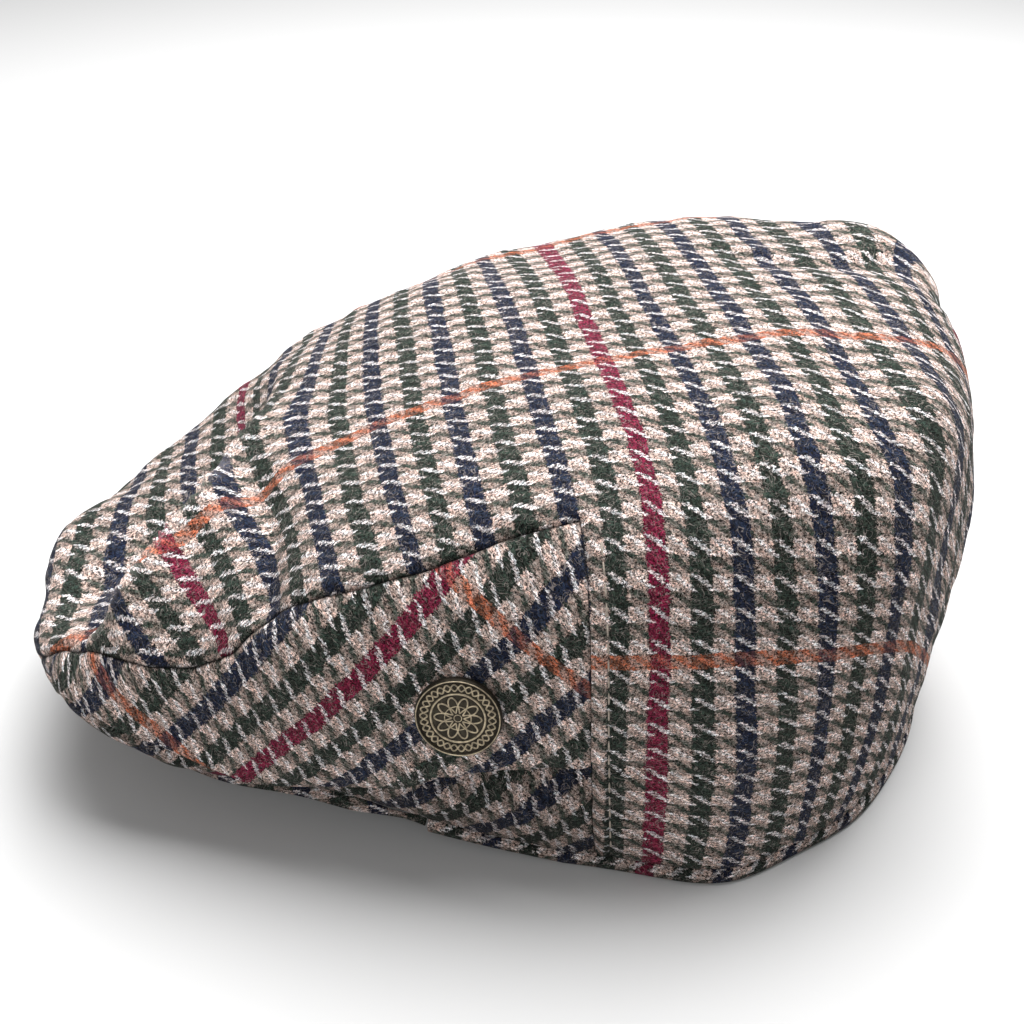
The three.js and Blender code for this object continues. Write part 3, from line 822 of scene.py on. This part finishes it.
def bias_threads(points):
    """Thread numbers of a bias-cut panel: its places laid flat, as length along the plan curve and
    depth down the side, then turned by the bias angle. The length is read at the place's own y, and
    round the front, where the curve runs across, square to the curve. Above BIAS_FLAT the depth is
    counted upright, and below it along the cloth."""
    curve = points[:, points.shape[1] // 2, :2]
    plan = run_along(curve)
    heading = unit(np.gradient(curve, axis=0))
    square = plan[:, None] + ((points[..., :2] - curve[:, None]) * heading[:, None]).sum(-1)
    place = points[..., 1]
    along = np.interp(place, curve[:, 1], plan) + place - np.clip(place, curve[0, 1], curve[-1, 1])
    along += (square - along) * (1 - smooth(heading[:, 1:], 0.5, 0.85))
    along -= np.interp(BIAS_ORIGIN[0], curve[:, 1], plan)
    height = points[..., 2]
    cloth = np.diff(run_along(points), axis=1, prepend=0) * (height < BIAS_FLAT)
    down = (BIAS_ORIGIN[1] - np.maximum(height, BIAS_FLAT)) * BIAS_EASE + np.cumsum(cloth, axis=1)
    turn, side = np.cos(BIAS_TURN), np.sin(BIAS_TURN)
    u = (along * turn + down * side) / WARP + BIAS_THREADS[0]
    v = (down * turn - along * side) / WEFT + BIAS_THREADS[1]
    return np.stack([u, v], axis=-1)


class FLATCAP_OT_side_panels(bpy.types.Operator):
    """Sews the two bias-cut side panels under the top's edge"""

    bl_idname = "flatcap.side_panels"
    bl_label = "Side panels"

    def execute(self, context):
        cloth = context.scene.flat_cap_cloth
        rows = spaced(FRONT, SIDE_SEAM - SEAM_GAP / STRIPE, PANEL_ROWS, 0.5)[:, None]
        start = column_at(SEAM, "drop", rows) + SEAM_GAP / section_length(rows)
        drops = start + (1 - start) * spaced(0, 1, PANEL_COLUMNS, 0.6)
        stations = rows + 0 * drops
        points = crown(stations, drops)
        normals = normals_of(points)
        # Painted shade below the turn under and along the seam under the top's edge.
        threads, hollow = bias_threads(points), painted_fold_shade(stations, drops)
        material = tweed_material("Tweed, bias")
        for side, word in SIDES:
            outer = points + normals * side_rise(cloth, points, normals, stations, drops, side)[..., None]
            name = f"tweed_side_{word}"
            piece = cloth_wall(name, outer, threads, hollow, cloth.wall / MM, mirrored=side < 0)
            hand_over(piece, material, "tweed_bias", f"side_panel_{word}")
        return {"FINISHED"}


TAPE_HALF, TAPE_THICK, TAPE_STEPS = 3.2, 0.5, 12     # mm, mm, steps across
TAPE_PAINTED_SHADE = 0.5            # painted shade: share of its colour taken away
TAPE_ENDS = (1.1, 0.2)       # stations that it keeps clear at the front and at the upright seam


class FLATCAP_OT_seam_tape(bpy.types.Operator):
    """Lays a narrow tape of the cloth behind both seams of each side panel"""

    bl_idname = "flatcap.seam_tape"
    bl_label = "Seam tape"

    def execute(self, context):
        cloth = context.scene.flat_cap_cloth
        across = np.linspace(-TAPE_HALF, TAPE_HALF, TAPE_STEPS + 1)
        rows = np.linspace(FRONT + TAPE_ENDS[0], SIDE_SEAM - TAPE_ENDS[1], 200)[:, None]
        top = rows + 0 * across, column_at(SEAM, "drop", rows) + across / section_length(rows)
        down = np.linspace(SEAM["drop"][-2] - 0.015, 0.99, 120)[:, None]
        upright = SIDE_SEAM - across / STRIPE + 0 * down, down + 0 * across
        # The tape's colours are dimmed to 0.6 and again by half, as painted shade.
        material = tweed_material("Tweed, tape", painted_shade_factor=0.6)
        for line, (stations, drops) in (("top", top), ("upright", upright)):
            points = crown(stations, drops)
            normals = normals_of(points)
            normals *= np.sign((normals * [1, 0, 1]).sum(-1, keepdims=True))
            threads = np.stack([stations * 16, drops * section_length(stations) / WEFT], axis=-1)
            for side, word in SIDES:
                rise = side_rise(cloth, points, normals, stations, drops, side)
                outer = points + normals * (rise - cloth.wall / MM - TAPE_THICK)[..., None]
                name, hollow = f"seam_tape_{line}_{word}", TAPE_PAINTED_SHADE + 0 * drops
                piece = cloth_wall(name, outer, threads, hollow, TAPE_THICK, mirrored=side < 0)
                hand_over(piece, material, "tweed")
        return {"FINISHED"}


PEAK_THICK = 4.2             # mm
PEAK_INSET = 1.2             # how far its rim lies inside the cloth's edge, mm
PEAK_GAP = 0.5               # clear line above it, mm
PEAK_SLOPE = 1.2             # how far its inner edge lies below the outer one, mm
PEAK_INNER_REACH = -80       # y of the middle of its inner edge in the tables, mm
PEAK_CORNER_WIDE = 4         # its width at the rear corners, mm
PEAK_STEPS, HEM_STEPS = 221, 560


def lower_edge(start, end, count):
    """The crown's lower edge on the wearer's left, between two stations."""
    return crown(np.linspace(start, end, count), np.ones(count))


def resampled(line, count):
    """The same bent line in equal steps of its own length, with any further columns it has."""
    run = run_along(line[:, :3])
    at = np.linspace(0, run[-1], count)
    return np.stack([np.interp(at, run, column) for column in line.T], axis=1)


def stadium(wide, thick, turns, flats):
    """Closed section with round ends: two half circles joined by straight flats, as two columns."""
    bend = np.linspace(-np.pi / 2, np.pi / 2, turns)
    radius = thick / 2
    reach = wide / 2 - radius
    cap = np.stack([reach + radius * np.cos(bend), radius * np.sin(bend)], axis=1)
    flat = np.stack([np.linspace(reach, -reach, flats + 2)[1:-1], np.full(flats, radius)], axis=1)
    return np.concatenate([cap, flat, -cap, -flat])


class FLATCAP_OT_peak(bpy.types.Operator):
    """Covers the stiff board of the peak"""

    bl_idname = "flatcap.peak"
    bl_label = "Peak"

    def execute(self, context):
        front = crown(np.full(24, FRONT), np.linspace(0, 1, 24))
        half = np.concatenate([front, lower_edge(FRONT, PEAK_CORNER, 80)[1:]])
        rim = resampled(np.concatenate([half[:0:-1] * [-1, 1, 1], half]), PEAK_STEPS)
        corner = rim[-1]
        turn = np.arctan2(corner[1] - rim[:, 1], rim[:, 0])
        depth = corner[1] - PEAK_INNER_REACH - CENTRE_SHIFT
        reach = corner[0] - PEAK_CORNER_WIDE
        inner = [reach * np.cos(turn), corner[1] - depth * np.sin(turn), rim[:, 2] - PEAK_SLOPE]
        drop = np.array([0, 0, PEAK_GAP + PEAK_THICK / 2])
        outer, inner = rim - drop, np.stack(inner, axis=1) - drop
        across = outer - inner
        wide = np.linalg.norm(across, axis=1)
        across /= wide[:, None]
        outer = outer - PEAK_INSET * across
        up = np.cross(across, np.gradient(outer, axis=0))
        up *= np.sign(up[:, 2:]) / np.linalg.norm(up, axis=1, keepdims=True)
        sections = np.stack([stadium(w, min(PEAK_THICK, 0.96 * w), 9, 7) for w in wide - PEAK_INSET])
        middle = (outer + inner) / 2
        points = middle[:, None] + sections[..., :1] * across[:, None] + sections[..., 1:] * up[:, None]
        threads = np.stack([points[..., 1] / WARP, (points[..., 0] - points[..., 2]) / WEFT], axis=-1)
        piece = swept_piece("tweed_peak", points, threads)
        # The peak's colours are dimmed to 0.8 as painted shade under the crown's front.
        hand_over(piece, tweed_material("Tweed, peak", painted_shade_factor=0.8), "peak_tweed", "peak")
        return {"FINISHED"}


HEM_WIDE, HEM_BULGE = 3.0, 0.6       # its width across the cloth and what it swells by, mm
HEM_GAP = 0.6                # clear line under the cloth's edge, mm
HEM_PROUD = 0.4              # how far it stands out past that edge, mm
HEM_THREAD = 40              # number of its first weft thread
HEM_START = 0.03             # stations between the peak's corner and the hem's end
HEM_LIFT, HEM_LIFT_LONG = 4.5, 34     # how far it clears the floor beside the peak, and for how long, mm


class FLATCAP_OT_hem(bpy.types.Operator):
    """Turns the hem round the head opening"""

    bl_idname = "flatcap.hem"
    bl_label = "Hem"

    def execute(self, context):
        half = lower_edge(PEAK_CORNER + HEM_START, BACK, 240)
        lift = np.interp(half[:, 1], half[0, 1] + [0, HEM_LIFT_LONG], [HEM_LIFT, 0])
        half = np.concatenate([half, lift[:, None]], axis=1)
        line = resampled(np.concatenate([half * [-1, 1, 1, 1], half[-2::-1]]), HEM_STEPS)
        line, lift = line[:, :3], line[:, 3]
        run = run_along(line)
        heading = unit(np.gradient(line, axis=0) * [1, 1, 0])
        inward = np.stack([heading[:, 1], -heading[:, 0], 0 * run], axis=1)
        high = line[:, 2] - HEM_GAP - lift
        centre = line + inward * (HEM_WIDE / 2 - HEM_PROUD + 0.15 * ripple(line, 30, 61)[:, None])
        centre[:, 2] = lift + high / 2
        sections = np.stack([stadium(tall, HEM_WIDE + HEM_BULGE, 9, 5) for tall in high])
        points = centre[:, None] + sections[..., :1] * [0, 0, 1.0] - sections[..., 1:] * inward[:, None]
        girth = run_along(points)
        threads = np.stack([run[:, None] / WARP + 0 * girth, girth / WEFT + HEM_THREAD], axis=-1)
        piece = swept_piece("tweed_hem", points, threads)
        # The hem's colours are dimmed to 0.8 as painted shade under the cloth's edge.
        hand_over(piece, tweed_material("Tweed, hem", painted_shade_factor=0.8), "hem_tweed", "hem_band")
        return {"FINISHED"}


STITCH_PITCH, STITCH_LONG, STITCH_THICK = 4.6, 3.3, 0.24    # mm
STITCH_PARTS, STITCH_SIDES = 7, 8
STITCH_DROPS = (0.37, 0.985)                  # where the line starts and ends down the section
STITCH_COLOUR = (0.42, 0.36, 0.3)


def surface_place(stations, drops):
    """Points and outward normals of the smooth crown at scattered places, from small steps each way."""
    step = 0.004
    along = crown(stations + step, drops) - crown(stations - step, drops)
    down = crown(stations, np.minimum(drops + step, 1)) - crown(stations, drops - step)
    return crown(stations, drops), unit(np.cross(down, along))


class FLATCAP_OT_stitching(bpy.types.Operator):
    """Runs a line of top stitching behind each side seam"""

    bl_idname = "flatcap.stitching"
    bl_label = "Top stitching"

    def execute(self, context):
        material = thread_material("Sewing thread", STITCH_COLOUR)
        drops = np.linspace(*STITCH_DROPS, 400)
        stations = np.full_like(drops, SIDE_SEAM + STITCH_BEHIND / STRIPE)
        points, normals = surface_place(stations, drops)
        part = np.linspace(0, 1, STITCH_PARTS)
        bow = np.sin(np.pi * part)[:, None]
        turn = turns(STITCH_SIDES)[:, None]
        thick = STITCH_THICK * (0.45 + 0.55 * bow[:, None] ** 0.5)
        for side, word in SIDES:
            rise = side_rise(context.scene.flat_cap_cloth, points, normals, stations, drops, side)
            line, normal = (points + normals * rise[:, None]) * [side, 1, 1], normals * [side, 1, 1]
            run = run_along(line)
            starts = np.arange(0.5, run[-1] - STITCH_LONG, STITCH_PITCH)
            at = starts[:, None] + STITCH_LONG * part
            read = lambda places: np.stack([np.interp(at, run, column) for column in places.T], -1)
            out = read(normal)
            centre = read(line) + out * (0.02 + 0.3 * bow**0.7 - 0.1)
            across = unit(np.cross(out, np.gradient(centre, axis=1)))
            ring = thick * (np.cos(turn) * across[:, :, None] + np.sin(turn) * out[:, :, None])
            faces = grid_faces(STITCH_PARTS, STITCH_SIDES, wrap=True, copies=len(starts))
            piece = add_piece(f"stitching_{word}", centre[:, :, None] + ring, faces)
            repair(piece)
            hand_over(piece, material, "tweed")
        return {"FINISHED"}


STUD_STANDOFF, STUD_THICK = 0.5, 1.9          # mm
STUD_ROUND, STUD_RINGS = 128, 67              # steps round the disc and along its profile
WIRE_SIDES = 8


def placed_on_stud(across, up, out):
    """Points on the stud's face in the frame: its centre and directions come from the crown where it
    sits, turned to face upwards by the tilt."""
    place, normal = surface_place(np.array([STUD_STATION]), np.array([STUD_DROP]))
    x = unit(np.cross([0, 0, 1], normal[0]))
    z = np.cos(STUD_TILT) * normal[0] + np.sin(STUD_TILT) * np.cross(normal[0], x)
    centre = place[0] + z * STUD_STANDOFF
    return centre + across[..., None] * x + up[..., None] * np.cross(z, x) + out[..., None] * z


def raised_line(name, radius, wire, material, level=STUD_THICK * 0.8):
    """A round wire half sunk in the stud's face, along closed curves: rows of radii, a turn to a row."""
    circle = turns(radius.shape[1])
    across, up = radius * np.cos(circle), radius * np.sin(circle)
    dx = (np.roll(across, -1, -1) - np.roll(across, 1, -1)) / 2
    dy = (np.roll(up, -1, -1) - np.roll(up, 1, -1)) / 2
    size = np.hypot(dx, dy) + 1e-9
    turn = turns(WIRE_SIDES)
    x = across[..., None] - (dy / size)[..., None] * wire * np.cos(turn)
    y = up[..., None] + (dx / size)[..., None] * wire * np.cos(turn)
    z = level + wire * np.sin(turn) * 1.2 + 0 * x
    lines, steps = radius.shape
    faces = grid_faces(steps, WIRE_SIDES, wrap=True, ring=True, copies=lines)[:, [0, 3, 2, 1]]
    piece = add_piece(name, placed_on_stud(x, y, z), faces)
    hand_over(piece, material, "antique_brass")


class FLATCAP_OT_stud(bpy.types.Operator):
    """Casts the round stud: a dark disc with a raised rim, a bright ring, a rope border and a rosette"""

    bl_idname = "flatcap.stud"
    bl_label = "Stud"

    def execute(self, context):
        stud = context.scene.flat_cap_stud
        radius = stud.radius / MM
        ground = antique_brass_material("Antique brass ground", stud.patina, 1, 2.2, 0.42)
        bright = antique_brass_material("Antique brass relief", stud.metal, 0.55, 1, 0.28)
        profile = np.array([
            [0.02, 0], [radius - 0.3, 0], [radius, 0.3], [radius, 1.2], [radius - 0.15, 1.7],
            [radius - 0.45, STUD_THICK], [radius - 0.8, 1.78], [radius - 1.0, 1.45],
            [6.8, 1.5], [6.1, 1.55], [3, 1.62], [0.02, 1.66],
        ])
        at = np.linspace(0, len(profile) - 1, STUD_RINGS)
        reach, out = (np.interp(at, np.arange(len(profile)), column)[:, None] for column in profile.T)
        turn = turns(STUD_ROUND)
        across = reach * np.cos(turn)
        piece = swept_piece("stud_disc", placed_on_stud(across, reach * np.sin(turn), out + 0 * across))
        hand_over(piece, ground, "antique_brass", "badge")

        # Each pair of waves is half a wave apart, so that its two lines cross.
        plain = np.zeros(240)
        wave = lambda count: np.cos(count * turns(720) + np.array([[0.0], [np.pi]]))
        raised_line("stud_ring", np.array([[6.4]]) + plain, 0.27, bright)
        raised_line("stud_rim", np.array([[radius - 0.45]]) + plain, 0.14, bright, STUD_THICK)
        raised_line("stud_rope", 8.05 + 0.85 * wave(15), 0.2, bright)
        raised_line("stud_rosette", 3.5 + 2.05 * wave(5), 0.21, bright)
        raised_line("stud_eye", np.array([[0.9], [3.1]]) + plain, 0.15, bright)
        return {"FINISHED"}


AIM = Vector((0, CENTRE_SHIFT * MM, 0.056))   # the middle of the cap, m
LIGHT_AIM = Vector((0, 0, 0.05))
AZIMUTH, ELEVATION = np.radians(84), np.radians(32)
SENSOR = 36                  # mm
LENS = SENSOR * 1500 / 1024  # mm
SKY = 0.32                   # strength of the white surroundings
FLOOR_REACH = 4000           # half a side of the floor, mm
# name, place in m, side in m, power as a share of the softbox
LIGHTS = (
    ("overhead softbox", (-0.25, 0.15, 0.9), 0.9, 1),
    ("front fill", (0.9, -0.7, 0.6), 0.7, 0.16),
)


class FLATCAP_OT_stage(bpy.types.Operator):
    """Lays the pale floor and sets the lights and the camera"""

    bl_idname = "flatcap.stage"
    bl_label = "Stage"

    def execute(self, context):
        stage, scene = context.scene.flat_cap_stage, context.scene
        corners = FLOOR_REACH * np.array([[-1, -1, 0], [1, -1, 0], [1, 1, 0], [-1, 1, 0]])
        floor = add_piece("floor", corners, np.array([[0, 1, 2, 3]]))
        material, graph, shader = new_material("Pale floor")
        graph.feed(shader, {"Base Color": tone(stage.floor), "Roughness": 0.9})
        floor.data.materials.append(material)

        scene.world = bpy.data.worlds.new("Studio")
        scene.world.use_nodes = True
        surroundings = scene.world.node_tree.nodes["Background"].inputs
        surroundings["Color"].default_value = (1, 1, 1, 1)
        surroundings["Strength"].default_value = SKY

        for name, place, side, share in LIGHTS:
            lamp = bpy.data.lights.new(name, "AREA")
            lamp.size, lamp.energy = side, stage.softbox * share
            light = bpy.data.objects.new(name, lamp)
            context.collection.objects.link(light)
            light.location = place
            light.rotation_euler = (LIGHT_AIM - Vector(place)).to_track_quat("-Z", "Y").to_euler()

        level = np.cos(ELEVATION)
        back = Vector((np.sin(AZIMUTH) * level, -np.cos(AZIMUTH) * level, np.sin(ELEVATION)))
        lens = bpy.data.cameras.new("Camera")
        lens.sensor_width, lens.lens = SENSOR, LENS
        lens.clip_start, lens.clip_end = 0.01, 20
        scene.camera = bpy.data.objects.new("Camera", lens)
        context.collection.objects.link(scene.camera)
        scene.camera.location = AIM + back * stage.distance
        scene.camera.rotation_euler = (-back).to_track_quat("-Z", "Y").to_euler()
        scene.view_settings.view_transform = "Standard"
        return {"FINISHED"}


class FLATCAP_PT_panel(bpy.types.Panel):
    """Lists the cap's sizes, colours and pieces"""

    bl_label = "Flat Cap"
    bl_idname = "FLATCAP_PT_panel"
    bl_space_type = "VIEW_3D"
    bl_region_type = "UI"
    bl_category = "Flat Cap"

    def draw(self, context):
        for name in PROPERTY_GROUPS:
            group, box = getattr(context.scene, name), self.layout.box()
            for label in group.__annotations__:
                box.prop(group, label)
        for operator in OPERATORS:
            self.layout.operator(operator.bl_idname)


PROPERTY_GROUPS = {
    "flat_cap_cloth": FlatCapCloth,
    "flat_cap_stud": FlatCapStud,
    "flat_cap_stage": FlatCapStage,
}
OPERATORS = (
    FLATCAP_OT_crown_top, FLATCAP_OT_side_panels, FLATCAP_OT_seam_tape, FLATCAP_OT_peak, FLATCAP_OT_hem,
    FLATCAP_OT_stitching, FLATCAP_OT_stud, FLATCAP_OT_stage,
)


def register():
    for kind in (*PROPERTY_GROUPS.values(), *OPERATORS, FLATCAP_PT_panel):
        bpy.utils.register_class(kind)
    for name, kind in PROPERTY_GROUPS.items():
        setattr(bpy.types.Scene, name, bpy.props.PointerProperty(type=kind))


def unregister():
    for name in PROPERTY_GROUPS:
        delattr(bpy.types.Scene, name)
    for kind in (FLATCAP_PT_panel, *reversed(OPERATORS), *reversed(PROPERTY_GROUPS.values())):
        bpy.utils.unregister_class(kind)


def main():
    """Builds every piece and the stage in order."""
    register()
    for operator in OPERATORS:
        getattr(bpy.ops.flatcap, operator.bl_idname.split(".")[1])()


if __name__ == "__main__":
    main()
